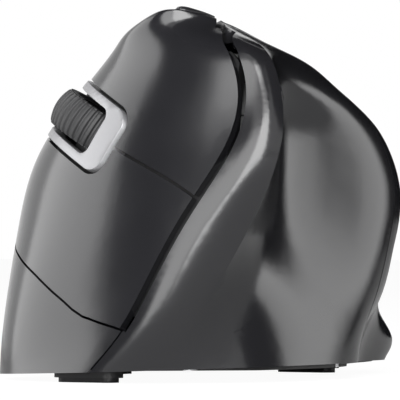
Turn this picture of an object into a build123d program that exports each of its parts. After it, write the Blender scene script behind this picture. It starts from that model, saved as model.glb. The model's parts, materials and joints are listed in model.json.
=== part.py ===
import math
import os

import numpy as np
from build123d import *

# Vertical ergonomic mouse for the right hand, in millimetres. +Z is up, the
# nose faces -Y, the thumb side faces +X and the finger side faces -X.

# Whole body.
PLAN = 100.0            # span that the plan guides below are taken of
HEIGHT = 72.0           # floor to the crest of the ridge
RIDGE_FALL = 19.3       # drop of the ridge over its own run
RIDGE_RUN = 72.0        # length over which the ridge drops that much
BASE_CANT = 2.45        # the skirt stands this much lower on the finger side
BASE_CANT_SPAN = 70.0   # over this width
CANT_SHARE = 0.4        # part of the height over which that cant fades out
RIDGE_FRONT_SHARE = -0.33   # where the ridge starts, of PLAN

# Heights of the guide levels, as shares of HEIGHT.
LEVEL_SHARES = (0.0, 0.08, 0.2, 0.4, 0.6, 0.8, 0.92, 0.98, 0.995, 1.0)
LEVEL_HEIGHT_SHARES = (0.031, 0.114, 0.236, 0.431, 0.625, 0.81, 0.914, 0.969,
                       0.988, 1.0)

# Places round the body where each guide line stands, from the flange edge
# round the nose, the finger side and the back to the flange edge again.
GUIDE_SHARES = (0.0, 0.05, 0.10, 0.20, 0.32, 0.46, 0.58, 0.68, 0.735, 0.78,
                0.84, 0.91, 0.965, 1.0)

# Plan of each guide line at the ten levels, as hundredths of PLAN.
FLANGE_EDGE_SHARES = (
    (9.5, -42.5), (14.5, -41.3), (20, -39), (27, -36), (31.5, -34),
    (28.7, -30.5), (22, -27.5), (14.5, -22), (12.7, -20.5), (11.3, -19.5))
BAND_SHARES = (
    (4, -45.5), (9.5, -45), (15, -43.5), (22.5, -40.2), (28.5, -36.8),
    (26.7, -33), (20.3, -29.6), (14.2, -24), (12.4, -22.3), (11.2, -21))
SLOT_SHARES = (
    (-3, -46.3), (2.9, -45.8), (8.6, -44.8), (16, -42), (23, -37.5),
    (22.5, -34), (17.5, -30.5), (13.6, -26), (12.3, -24.8), (11.2, -23.8))
NOSE_SHARES = (
    (-21, -40.5), (-19, -40.8), (-15, -41), (-8, -40.3), (-1, -38),
    (4, -34.5), (5, -32.7), (5.6, -31.8), (7, -30.9), (7.9, -29.9))
WHEEL_SIDE_SHARES = (
    (-34.5, -27), (-34.2, -26.7), (-33.4, -26.5), (-31.5, -25.5),
    (-27.8, -24.2), (-18, -23.4), (-10.3, -24.4), (-2.6, -25.9),
    (2.2, -25), (5.2, -24.2))
PALM_SHARES = (
    (-39, 5), (-38.9, 5), (-38.3, 5), (-36.3, 4), (-31.5, 2.5), (-21, 0),
    (-11.5, -3), (-3.8, -6), (2.4, -8.2), (6.6, -11.5))
QUARTER_SHARES = (
    (-33, 36), (-32.7, 35.6), (-32, 35), (-30, 33.5), (-25, 30), (-14, 22),
    (-4, 15), (3.6, 7), (7.6, 1.6), (9.6, -3.6))
BACK_SHARES = (
    (-8, 55), (-7.6, 54.9), (-7, 54.5), (-5, 53), (-2, 48.5), (4, 37.5),
    (9.5, 26.3), (12.5, 17), (13, 10.5), (13, 3))
HEEL_SHARES = (
    (11, 46.5), (12.3, 47.3), (10, 44.2), (11.6, 43.6), (13.5, 41.3),
    (14.5, 34.8), (14.5, 25.6), (15, 16), (14.6, 9.8), (13.6, 3))
REAR_CORNER_SHARES = (
    (17, 24.5), (17.8, 25.8), (19, 28.2), (20, 31.4), (20.4, 33.8),
    (19.3, 31.2), (17.8, 22.5), (16.3, 13), (15.2, 7.5), (13.8, 2))
BULGE_SHARES = (
    (25.3, 8), (25.6, 9), (26.1, 12.5), (26.4, 17.5), (26, 21), (24, 18.5),
    (21, 12), (18.2, 5), (16, 1), (13.8, -2))
SCOOP_SHARES = (
    (27, -13), (26.5, -12), (25, -10), (22, -7), (20.5, -5), (20.7, -6),
    (20.4, -8.5), (17, -8), (14.8, -8.5), (13, -9))
FLANGE_ROOT_SHARES = (
    (21, -33), (22, -31), (23, -27), (22.5, -23), (22.5, -20.5),
    (22.8, -20), (20.8, -21), (15.2, -18.5), (13.4, -17.5), (12, -17))

GUIDES = np.array((
    FLANGE_EDGE_SHARES, BAND_SHARES, SLOT_SHARES, NOSE_SHARES,
    WHEEL_SIDE_SHARES, PALM_SHARES, QUARTER_SHARES, BACK_SHARES,
    HEEL_SHARES, REAR_CORNER_SHARES, BULGE_SHARES, SCOOP_SHARES,
    FLANGE_ROOT_SHARES, FLANGE_EDGE_SHARES), float)
PERCENT = 100
NUDGE_SHARE = 1e-3      # step used to read directions off the skin


def through(stations, values, at):
    """Natural cubic curve through values at stations, read at one place."""
    stations = np.asarray(stations, float)
    values = np.asarray(values, float)
    count = len(stations)
    step = np.diff(stations)
    matrix = np.eye(count)
    load = np.zeros_like(values)
    for i in range(1, count - 1):
        matrix[i, i - 1] = step[i - 1]
        matrix[i, i] = 2 * (step[i - 1] + step[i])
        matrix[i, i + 1] = step[i]
        rise_after = (values[i + 1] - values[i]) / step[i]
        rise_before = (values[i] - values[i - 1]) / step[i - 1]
        load[i] = 6 * (rise_after - rise_before)
    bend = np.linalg.solve(matrix, load.reshape(count, -1)).reshape(load.shape)
    k = int(np.clip(np.searchsorted(stations, at) - 1, 0, count - 2))
    near = (stations[k + 1] - at) / step[k]
    far = (at - stations[k]) / step[k]
    curve = (near**3 - near) * bend[k] + (far**3 - far) * bend[k + 1]
    return near * values[k] + far * values[k + 1] + curve * step[k] ** 2 / 6


def level_height(x, y, level):
    """Height of a level's own plane over the plan point x, y."""
    front = RIDGE_FRONT_SHARE * PLAN
    rise = through(LEVEL_SHARES, LEVEL_HEIGHT_SHARES, level) * HEIGHT
    fall = level * RIDGE_FALL / RIDGE_RUN * (y - front)
    cant = max(0.0, 1 - level / CANT_SHARE) * BASE_CANT / BASE_CANT_SPAN * x
    return float(rise - fall + cant)


def skin_point(place, level):
    """Point of the outer skin at a place round the body and a level."""
    guides = [through(LEVEL_SHARES, guide, level) for guide in GUIDES]
    x, y = through(GUIDE_SHARES, guides, place) * PLAN / PERCENT
    return np.array((x, y, level_height(x, y, level)))


def skin_frame(place, level):
    """Point, direction round the body, direction upwards, outward normal."""
    back = max(place - NUDGE_SHARE, 0.0)
    fore = min(place + NUDGE_SHARE, 1.0)
    low = max(level - NUDGE_SHARE, 0.0)
    high = min(level + NUDGE_SHARE, 1.0)
    along = skin_point(fore, level) - skin_point(back, level)
    up = skin_point(place, high) - skin_point(place, low)
    normal = np.cross(up, along)
    unit = [v / np.linalg.norm(v) for v in (along, up, normal)]
    return skin_point(place, level), *unit


# Shells, seams and gaps.
WALL = 2.0              # shell and button wall
FIT_GAP = 0.15          # between pieces that seat on each other
RUN_GAP = 0.3           # round a piece that moves in an opening
OVERRUN = 4.0           # how far a cutter passes the face it cuts
SLOT_WIDTH = 1.7        # black gap in front of the two main buttons
SPLIT_WIDTH = 0.6
SHELL_SEAM_WIDTH = 0.35
CUT_DEPTH = 5.5         # how deep a seam cutter reaches

# Sections of the body: where the curve round the body is read, and at
# which levels. The two halves meet on the palm guide.
FRONT_PLACE_SHARES = (0.0, 0.02, 0.05, 0.075, 0.10, 0.13, 0.165, 0.20, 0.24,
                      0.28, 0.32, 0.35, 0.38, 0.41, 0.435, 0.46)
REAR_PLACE_SHARES = (0.46, 0.485, 0.51, 0.545, 0.58, 0.63, 0.68, 0.71, 0.735, 0.76,
                     0.78, 0.81, 0.84, 0.875, 0.91, 0.94, 0.965, 0.985, 1.0)
OUTER_LEVEL_SHARES = (0.0, 0.04, 0.08, 0.14, 0.2, 0.3, 0.4, 0.5, 0.6, 0.7,
                      0.8, 0.87, 0.92, 0.955, 0.98, 0.995, 1.0)
CAVITY_LEVEL_SHARES = (0.0, 0.04, 0.08, 0.14, 0.2, 0.3, 0.4, 0.5, 0.6, 0.7,
                       0.8, 0.87, 0.925)
# The flange is solid, so a cavity is only drawn between these places.
CAVITY_FIRST_SHARE = 0.055
CAVITY_LAST_SHARE = 0.95
CLOSING_SHARE = 0.018       # each millimetre of inset draws those places in
LEAST_FACING_SHARE = 0.45   # a slope widens an inset no more than this allows
MOST_INSET_SHARE = 0.6      # an inset stops short of the core line

# Seams, as (place, level) on the skin.
SLOT_PLACE_SHARE = 0.10
SLOT_TOP_SHARE = 0.975
SEAM_CORNER_SHARE = 0.10    # level where slot and lower seam meet
LOWER_SEAM_SHARES = ((0.102, 0.098), (0.15, 0.13), (0.175, 0.165),
                     (0.205, 0.21), (0.238, 0.255), (0.307, 0.33),
                     (0.38, 0.40), (0.44, 0.445))
SPLIT_FRONT_SHARES = ((0.102, 0.437), (0.13, 0.475), (0.163, 0.52),
                      (0.20, 0.575), (0.225, 0.615), (0.26, 0.68))
SPLIT_REAR_SHARES = ((0.315, 0.745), (0.345, 0.77), (0.385, 0.785),
                     (0.44, 0.79))
BUTTON_REAR_SHARES = ((0.44, 0.44), (0.44, 0.55), (0.44, 0.66), (0.44, 0.79),
                      (0.44, 0.88), (0.44, 0.905))
REAR_SEAM_PLACE_SHARE = 0.835
REAR_SEAM_TOP_SHARE = 0.925
# The seam over the ridge, in plan, as hundredths of PLAN.
RIDGE_SLOT_SHARES = ((14.6, -27.6), (12.8, -24), (10.2, -21.4), (6, -19.4))
RIDGE_SEAM_SHARES = ((7.5, -20), (4.5, -18), (1, -14.5), (-1.2, -8), (-0.5, -1),
                     (3, 5), (9, 8.6), (14.5, 9.6), (19, 12), (22.6, 17.2))
BUTTON_TOP_SHARES = ((-12, -6.6), (-9, -8), (-5, -8.7), (-0.5, -9))
RIDGE_SEAM_LOW_SHARE = 0.62     # height from which those seams are cut
FRONT_CUT_LOW = 24.0            # reach of the seams cut square to the wheel
FRONT_CUT_HIGH = 62.0
BUTTON_SEAM_WIDTH = 0.45        # round both main buttons
# Corners on the far side of the slot that close the buttons' outline.
BEYOND_SLOT = ((6, -11.5, 65), (14, -16, 66), (40, -30, 66), (40, -50, 20),
               (12, -46, 5.5))
# How many points each seam is drawn through.
SLOT_POINTS = 12
SKIRT_POINTS = 4
SEAM_POINTS = 14
BUTTON_REAR_POINTS = 8
# A point of each piece that the seams part, as (place, level).
THUMB_PROBE_SHARES = (0.05, 0.4)
PALM_PROBE_SHARES = (0.6, 0.4)
INDEX_PROBE_SHARES = (0.16, 0.75)
MIDDLE_PROBE_SHARES = (0.25, 0.42)


def core_ends(level):
    """Front and rear end of the line that every inset is drawn towards."""
    guides = (WHEEL_SIDE_SHARES, FLANGE_ROOT_SHARES, QUARTER_SHARES, BULGE_SHARES)
    side, root, quarter, bulge = (
        through(LEVEL_SHARES, guide, level) * PLAN / PERCENT for guide in guides)
    return (side + root) / 2, (quarter + bulge) / 2


def inset_point(place, level, inset):
    """Point inside the skin by an inset, still in its level's plane."""
    point, _, _, normal = skin_frame(place, level)
    front, rear = core_ends(level)
    run = rear - front
    share = np.clip(np.dot(point[:2] - front, run) / np.dot(run, run), 0, 1)
    inward = front + share * run - point[:2]
    distance = np.linalg.norm(inward)
    facing = -np.dot(inward, normal[:2]) / distance
    reach = min(inset / max(facing, LEAST_FACING_SHARE), MOST_INSET_SHARE * distance)
    x, y = point[:2] + inward / distance * reach
    return np.array((x, y, level_height(x, y, level)))


def skin_wire(level):
    """Closed outline of the skin at one level, with its crisp flange edge."""
    edges = []
    for places in (FRONT_PLACE_SHARES, REAR_PLACE_SHARES):
        points = [tuple(skin_point(place, level)) for place in places]
        edges.append(Edge.make_spline(points))
    return Wire(edges)


def cavity_wire(level, inset, drop=0):
    """Closed outline inside the skin, straight across the flange's root."""
    halves = []
    drawn_in = CLOSING_SHARE * (inset - WALL)
    first, last = CAVITY_FIRST_SHARE + drawn_in, CAVITY_LAST_SHARE - drawn_in
    for places in (FRONT_PLACE_SHARES, REAR_PLACE_SHARES):
        inner = [p for p in places if first + NUDGE_SHARE < p < last - NUDGE_SHARE]
        inner = [first, *inner] if places is FRONT_PLACE_SHARES else [*inner, last]
        points = [inset_point(place, level, inset) for place in inner]
        halves.append([(x, y, z - drop) for x, y, z in points])
    front, rear = (Edge.make_spline(half) for half in halves)
    closing = Edge.make_line(halves[1][-1], halves[0][0])
    return Wire([front, rear, closing])


def outer_form():
    """The whole mouse as one closed form."""
    return Solid.make_loft([skin_wire(level) for level in OUTER_LEVEL_SHARES])


def inner_form(inset):
    """The space inside the skin, run out through the open bottom."""
    wires = [cavity_wire(CAVITY_LEVEL_SHARES[0], inset, OVERRUN)]
    wires += [cavity_wire(level, inset) for level in CAVITY_LEVEL_SHARES]
    return Solid.make_loft(wires)


def curtain(path, width, depth=CUT_DEPTH, rise=OVERRUN, start=0, end=0):
    """Thin upright cutter that follows a path of (place, level) on the skin."""
    frames = [skin_frame(place, level) for place, level in path]
    points = np.array([frame[0] for frame in frames])
    ways = np.gradient(points, axis=0)
    ways /= np.linalg.norm(ways, axis=1)[:, None]
    points[0] -= ways[0] * start
    points[-1] += ways[-1] * end
    wires = []
    for point, way, frame in zip(points, ways, frames):
        normal = frame[3]
        side = np.cross(normal, way)
        side *= width / 2 / np.linalg.norm(side)
        corners = [point + side + normal * rise, point + side - normal * depth,
                   point - side - normal * depth, point - side + normal * rise]
        wires.append(Wire.make_polygon([tuple(c) for c in corners]))
    return Solid.make_loft(wires)


def blend_path(path, count):
    """More points along a path of shares, on a smooth curve through it."""
    stations = np.linspace(0, 1, len(path))
    return [tuple(through(stations, path, at)) for at in np.linspace(0, 1, count)]


def stroke(plane, points, width, span, start=0, end=0):
    """Straight-sided cutter along a curve, seen square on to a plane."""
    flat = [plane.to_local_coords(Vector(*point)) for point in points]
    flat = np.array([(p.X, p.Y) for p in flat])
    ways = np.gradient(flat, axis=0)
    ways /= np.linalg.norm(ways, axis=1)[:, None]
    flat[0] -= ways[0] * start
    flat[-1] += ways[-1] * end
    sides = np.stack((-ways[:, 1], ways[:, 0]), axis=1) * width / 2
    low, high = span
    left, right = ([(x, y, 0) for x, y in flat + side] for side in (sides, -sides))
    outline = Wire([Edge.make_spline(left), Edge.make_line(left[-1], right[-1]),
                    Edge.make_spline(right), Edge.make_line(right[0], left[0])])
    cutter = Solid.extrude(Face(outline), Vector(0, 0, high - low))
    return plane.location * Pos(0, 0, low) * cutter


def skin_points(shares, count):
    """Points of the skin along a smooth path of (place, level) shares."""
    return [skin_point(*at) for at in blend_path(shares, count)]


def plan_points(shares):
    """Points on the floor under a plan curve."""
    return [(x * PLAN / PERCENT, y * PLAN / PERCENT, 0) for x, y in shares]


# Wheel station: where the wheel, its bezel and its board stand.
WHEEL_PLACE_SHARE = 0.283
WHEEL_LEVEL_SHARE = 0.705
WHEEL_AIM_PLACE_SHARE = 0.225
WHEEL_AIM_LEVEL_SHARE = 0.62
WHEEL_RADIUS = 11.0
WHEEL_WIDTH = 7.4
WHEEL_PROUD = 3.2       # how far the tyre stands out of the skin
RIB_COUNT = 44
RIB_DEPTH = 0.55
RIB_SHARE = 0.6         # part of the pitch that is rib
CROWN_DROP = 0.9        # how much the tyre's edges fall below its middle
HUB_RADIUS = 8.4
HUB_RIM = 1.2
HUB_BOSS_RADIUS = 2.6
HUB_WEB = 2.0
HUB_INSET = 0.4         # hub face below the tyre's side
SPOKE_HOLES = 6
SPOKE_HOLE_SHARE = 0.62     # part of the web's width that a hole takes
AXLE_RADIUS = 1.2
AXLE_CLEARANCE = 0.05
AXLE_EXTRA = 2.0        # how far the axle reaches into the encoder
WHEEL_TRAVEL = 0.5      # press of the wheel
WHEEL_CENTRE_DROP = WHEEL_RADIUS - WHEEL_PROUD

BEZEL_WIDTH = 13.2
BEZEL_OPEN_LENGTH = 24.6
BEZEL_OPEN_WIDTH = 9.8
BEZEL_OPEN_FRONT = 13.0     # front end of the opening, from the wheel
BEZEL_FRONT_BAR = 4.7
BEZEL_REAR_BAR = 2.0
BEZEL_CORNER = 3.2
BEZEL_OPEN_CORNER = 2.0
BEZEL_GAP = 0.7         # dark gap round the bezel
BEZEL_PROUD = 0.35

CHASSIS_GAP = 0.6       # between the buttons' inner face and the chassis
CHASSIS_WALL = 1.4
CHASSIS_LOW = 12.6
CHASSIS_REAR = 4.5
CHASSIS_THUMB = 21.0
CHASSIS_TOP_GAP = 1.2   # below the flat top of the space inside

BOARD_DEPTH = 16.5      # top of the switch board below the wheel's skin point
BOARD_THICK = 1.2
BOARD_REAR = 17.0
BOARD_FRONT = 21.0
BOARD_UPPER = 14.5
BOARD_LOWER = 19.0
WELL_LENGTH = 27.0      # opening for the wheel in chassis and board
WELL_WIDTH = 12.4

SWITCH_LENGTH = 12.8
SWITCH_WIDTH = 5.8
SWITCH_HEIGHT = 6.5
PLUNGER_RADIUS = 0.9
PLUNGER_RISE = 0.5
PRESS_GAP = 0.3         # travel of a button before it meets its switch
NUB_RADIUS = 1.6
INDEX_SWITCH_AT = (13.5, 10.6)
MIDDLE_SWITCH_AT = (12.0, -13.0)

FORK_ARM = 1.6
FORK_GAP = 0.45
FORK_LENGTH = 8.0
FORK_TOP = 5.4          # top of the fork below the skin point
FORK_BRIDGE = 2.0
FORK_FLOOR_GAP = 1.2
FORK_TAB_WIDTH = 4.0
FORK_TAB_THICK = 1.3
FORK_TAB_REACH = 11.5
ARM_INNER = WHEEL_WIDTH / 2 + FORK_GAP
ARM_OUTER = ARM_INNER + FORK_ARM
FORK_FLOOR = -(WHEEL_CENTRE_DROP + WHEEL_RADIUS + FORK_FLOOR_GAP)
ENCODER_SIZE = (10.0, 3.4, 9.0)
ENCODER_RAISE = -3.0    # middle of the encoder from the axle
WHEEL_SWITCH_AT = (0, -9.5)

TACT_SIDE = 6.0
TACT_HEIGHT = 3.4
TACT_PLUNGER_RADIUS = 1.7
TACT_PLUNGER = 0.6
PLAY = 0.05             # between a screw and its hole, and over a plunger
TAB_LOW = TACT_HEIGHT + TACT_PLUNGER + WHEEL_TRAVEL + PLAY - BOARD_DEPTH


def station(place, level, aim_place, aim_level):
    """Plane on the skin, x towards the aim point and z out of the skin."""
    point, _, _, normal = skin_frame(place, level)
    aim = skin_point(aim_place, aim_level) - point
    return Plane(origin=tuple(point), x_dir=tuple(aim), z_dir=tuple(normal))


WHEEL_PLANE = station(WHEEL_PLACE_SHARE, WHEEL_LEVEL_SHARE,
                      WHEEL_AIM_PLACE_SHARE, WHEEL_AIM_LEVEL_SHARE)
WHEEL_CENTRE = WHEEL_PLANE.from_local_coords(Vector(0, 0, -WHEEL_CENTRE_DROP))
AXLE_PLANE = Plane(origin=WHEEL_CENTRE, x_dir=WHEEL_PLANE.x_dir,
                   z_dir=WHEEL_PLANE.y_dir)


def block(plane, x_span, y_span, z_span):
    """Box given by its low and high value along each axis of a plane."""
    size = [high - low for low, high in (x_span, y_span, z_span)]
    middle = [(high + low) / 2 for low, high in (x_span, y_span, z_span)]
    return plane.location * Pos(*middle) * Box(*size)


def rod(plane, at, radius, z_span):
    """Cylinder along a plane's z, between two heights."""
    low, high = z_span
    return plane.location * Pos(*at, (low + high) / 2) * Cylinder(radius, high - low)


def pill(plane, at, length, width, corner, z_span):
    """Round-cornered block along a plane's z."""
    low, high = z_span
    outline = RectangleRounded(length, width, corner)
    return plane.location * Pos(*at, low) * extrude(outline, high - low)


def solid_at(shape, place, level, depth=WALL / 2):
    """The piece of a cut shell that holds a point inside the skin."""
    point, _, _, normal = skin_frame(place, level)
    probe = Vertex(*(point - normal * depth))
    return min(shape.solids(), key=lambda piece: piece.distance_to(probe))


BEZEL_LENGTH = BEZEL_FRONT_BAR + BEZEL_OPEN_LENGTH + BEZEL_REAR_BAR
BEZEL_MIDDLE = BEZEL_OPEN_FRONT + BEZEL_FRONT_BAR - BEZEL_LENGTH / 2
BEZEL_OPEN_MIDDLE = BEZEL_OPEN_FRONT - BEZEL_OPEN_LENGTH / 2


def bezel_block(grow, span):
    """Outline of the bezel, grown by a gap, as a block through the skin."""
    return pill(WHEEL_PLANE, (BEZEL_MIDDLE, 0), BEZEL_LENGTH + 2 * grow,
                BEZEL_WIDTH + 2 * grow, BEZEL_CORNER + grow, span)


# Small buttons.
DPI_PLACE_SHARE = 0.41
DPI_LEVEL_SHARE = 0.788
DPI_LENGTH = 6.0
DPI_WIDTH = 4.2
DPI_CORNER = 1.6
DPI_DEPTH = 2.2
DPI_PROUD = 0.6
SMALL_TRAVEL = 0.35     # press of the small buttons
STEM_RADIUS = 1.5
DPI_TACT_SIDE = 4.0
DPI_TACT_HEIGHT = 1.5
DPI_TACT_PLUNGER = 0.3
DPI_STEM_END = -4.6
DPI_SHELF = (DPI_STEM_END - SMALL_TRAVEL - PLAY - DPI_TACT_PLUNGER
             - DPI_TACT_HEIGHT)
DPI_SHELF_THICK = 1.0

SIDE_PLACE_SHARE = 0.972
SIDE_LEVEL_SHARE = 0.70
SIDE_AIM_PLACE_SHARE = 0.985
SIDE_LENGTH = 12.0
SIDE_WIDTH = 5.4
SIDE_CORNER = 2.0
SIDE_PITCH = 6.3
SIDE_PROUD = 0.8
SIDE_BOARD_THICK = 1.2
SIDE_DEEP = 5.5
SIDE_BUTTON_DEPTH = 3.2
SIDE_PRESS_ROOM = 0.4
SIDE_BOARD_TOP = -(SIDE_BUTTON_DEPTH + SIDE_PRESS_ROOM + TACT_PLUNGER + TACT_HEIGHT)
SIDE_POST_ROOT = 1.4
SIDE_BOARD_SPAN = (-7.0, 4.0)
SIDE_BOARD_HALF = 11.6
# Space that the frame leaves for the thumb buttons' board, on their plane.
SIDE_ROOM = ((-20, 6), (-17, 17), (-12, 5))

DPI_PLANE = station(DPI_PLACE_SHARE, DPI_LEVEL_SHARE,
                    WHEEL_PLACE_SHARE, WHEEL_LEVEL_SHARE)
SIDE_PLANE = station(SIDE_PLACE_SHARE, SIDE_LEVEL_SHARE,
                     SIDE_AIM_PLACE_SHARE, SIDE_LEVEL_SHARE)


def dpi_block(grow, span):
    """Outline of the small button behind the wheel, as a block."""
    return pill(DPI_PLANE, (0, 0), DPI_LENGTH + 2 * grow, DPI_WIDTH + 2 * grow,
                DPI_CORNER + grow, span)


def side_block(step, grow, span):
    """Outline of one thumb button; step is +1 for the upper, -1 the lower."""
    return pill(SIDE_PLANE, (0, -step * SIDE_PITCH / 2), SIDE_LENGTH + 2 * grow,
                SIDE_WIDTH + 2 * grow, SIDE_CORNER + grow, span)


# Base.
PLATE_BOTTOM = 2.4
PLATE_THICK = 2.2
PLATE_TOP = PLATE_BOTTOM + PLATE_THICK
RIM_TOP = 5.4           # top of the plate's rim under the thumb scoop
RIM_SETBACK = (-1.3, 1.6)   # how far the rim stands behind the skirt, along X and Y
# Plan of the rim: its two ends on the skin, its inner edge, then well outside.
RIM_SHARES = ((9.5, -42.5), (8.2, -38.5), (19, -26.5), (25, -20), (45, -20),
              (45, -55), (9.5, -55))
PAD_FACE = 0.9          # how far the pads stand below their pedestals
PAD_SEAT = 0.4
PEDESTAL_EDGE = 0.8
FRONT_PAD_AT = (-8.1, -37.8)
REAR_PAD_AT = (-3.8, 40.5)
SIDE_PAD_AT = (-31.0, 8.0)
PAD_LENGTH = 12.6
PAD_WIDTH = 4.0

POST_RADIUS = 3.0
POST_HEIGHT = 12.0
SCREW_RADIUS = 1.1
SCREW_HEAD_RADIUS = 2.1
SCREW_HEAD_HEIGHT = 1.3
SCREW_LENGTH = 8.0
SMALL_SCREW_RADIUS = 0.85
SMALL_HEAD_RADIUS = 1.6
SMALL_HEAD_HEIGHT = 1.0
SMALL_SCREW_LENGTH = 4.2
SMALL_POST_RADIUS = 2.2
SWITCH_BOARD_POSTS = ((18, 1.5), (-15, -10), (-8, 12))
MAIN_BOARD_POSTS = ((-14.5, -33), (6, -25.5), (-14, -4))
SIDE_POSTS = ((-3, -9.2), (-3, 9.2))
MAIN_BOARD_THICK = 1.6
THUMB_FRONT_POST_AT = (11.3, -33.6)
THUMB_REAR_POST_SHARE = 0.875
# Posts, as the place round the body; the first two stand on the palm shell.
PALM_POST_SHARES = (0.27, 0.60)
POST_LEVEL_SHARE = 0.1

BATTERY_RADIUS = 7.1
BATTERY_LENGTH = 49.4
BATTERY_TIP_RADIUS = 2.7
BATTERY_TIP = 1.0
BATTERY_AT = (2.0, 8.0)
BAY_CLEARANCE = 0.3
BAY_END_SPACE = 1.6     # room for the contacts at each end
BAY_WALL = 1.4
CONTACT_THICK = 0.4
CONTACT_WIDTH = 9.0
DOOR_THICK = 1.5
DOOR_LIP = 2.2
CONTACT_RISE = 1.6
DOOR_GRIPS = 3
DOOR_GRIP_WIDTH = 0.9
DOOR_GRIP_DEPTH = 0.5
BAY_HALF = BATTERY_RADIUS + BAY_CLEARANCE
BATTERY_AXIS_HEIGHT = PLATE_BOTTOM + DOOR_THICK + BAY_CLEARANCE + BATTERY_RADIUS
BATTERY_START = BATTERY_AT[1] - BATTERY_LENGTH / 2
BAY_START = BATTERY_START - BATTERY_TIP - CONTACT_THICK
BAY_END = BATTERY_START + BATTERY_LENGTH + BAY_END_SPACE
BAY_TOP = 13.0
BAY_WALL_FOOT = PLATE_BOTTOM + DOOR_THICK + FIT_GAP
DOOR_GRIP_HALF = BAY_HALF * 2 / 3

RECEIVER_AT = (-20.0, 16.0)
RECEIVER_SIZE = (15.0, 7.6, 5.4)
PLUG_SIZE = (12.0, 11.6, 4.5)
RECEIVER_GAP = 0.3
RECEIVER_BOTTOM = 2.6

MAIN_BOARD_BOTTOM = 7.6
MAIN_BOARD_TOP = MAIN_BOARD_BOTTOM + MAIN_BOARD_THICK
MAIN_BOARD_REAR = -22.2
MAIN_BOARD_THUMB = 12.0
MAIN_BOARD_WING = (-10.0, 1.0)      # X and Y where the board's wing ends
SENSOR_AT = (-4.0, -28.5)
SENSOR_SIZE = (9.0, 8.4, 2.4)
LENS_SIZE = (12.0, 9.6)
LENS_RADIUS = 2.2
LENS_WINDOW_RADIUS = 2.8
POWER_AT = (-24.0, -9.0)
POWER_BODY = (5.4, 9.0, 2.0)
POWER_PLATE = (4.4, 5.4, 0.8)
POWER_TAB = (2.2, 2.6)
POWER_TRAVEL = 2.5
SLIDE_GAP = 0.1

FLOOR = Plane.XY


def plan_at(shares):
    """Plan point given as hundredths of PLAN."""
    return tuple(value * PLAN / PERCENT for value in shares)


def rim_block(outer, grow, low, high):
    """Space of the plate's rim under the flange, behind the shell's skirt."""
    outline = Face(Wire.make_polygon([(*plan_at(at), 0) for at in RIM_SHARES]))
    if grow:
        outline = offset(outline, grow, kind=Kind.INTERSECTION).face()
    rim = Pos(0, 0, low) * Solid.extrude(outline, Vector(0, 0, high - low))
    x, y = RIM_SETBACK
    return within(rim, Pos(x + grow, y - grow, 0) * outer)


def post_at(place):
    """Plan point of a screw post that leans on the shell's wall."""
    lean = WALL / 2 + POST_RADIUS
    return tuple(inset_point(place, POST_LEVEL_SHARE, lean)[:2])


FACING_PLANE = Plane(origin=(0, 0, 0), x_dir=tuple(WHEEL_PLANE.x_dir),
                     z_dir=tuple(WHEEL_PLANE.z_dir))
FRONT_CUT = (FRONT_CUT_LOW, FRONT_CUT_HIGH)
TOP_CUT = (HEIGHT * RIDGE_SEAM_LOW_SHARE, HEIGHT * 2)


def prism(points, grow):
    """Block round the buttons' outline, seen square on to the wheel."""
    flat = [FACING_PLANE.to_local_coords(Vector(*point)) for point in points]
    outline = Face(Wire.make_polygon([(p.X, p.Y, 0) for p in flat]))
    if grow:
        outline = offset(outline, grow, kind=Kind.INTERSECTION).face()
    low, high = FRONT_CUT
    shape = Solid.extrude(outline, Vector(0, 0, high - low))
    return FACING_PLANE.location * Pos(0, 0, low) * shape


def crest_points(outer, shares):
    """Points on top of the body over a plan curve."""
    found = []
    for x, y, z in plan_points(shares):
        hits = outer.find_intersection_points(Axis((x, y, z), (0, 0, 1)))
        found.append(max((tuple(hit[0]) for hit in hits), key=lambda p: p[2]))
    return found


def button_outline(outer):
    """Edge of the opening for both main buttons, round to the slot's far side."""
    lower = skin_points(LOWER_SEAM_SHARES, SEAM_POINTS)
    rear = skin_points(BUTTON_REAR_SHARES, BUTTON_REAR_POINTS)
    crest = crest_points(outer, BUTTON_TOP_SHARES)
    beyond = [np.array(point, float) for point in BEYOND_SLOT]
    return [*lower, *rear[1:], *crest, *beyond]


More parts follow.
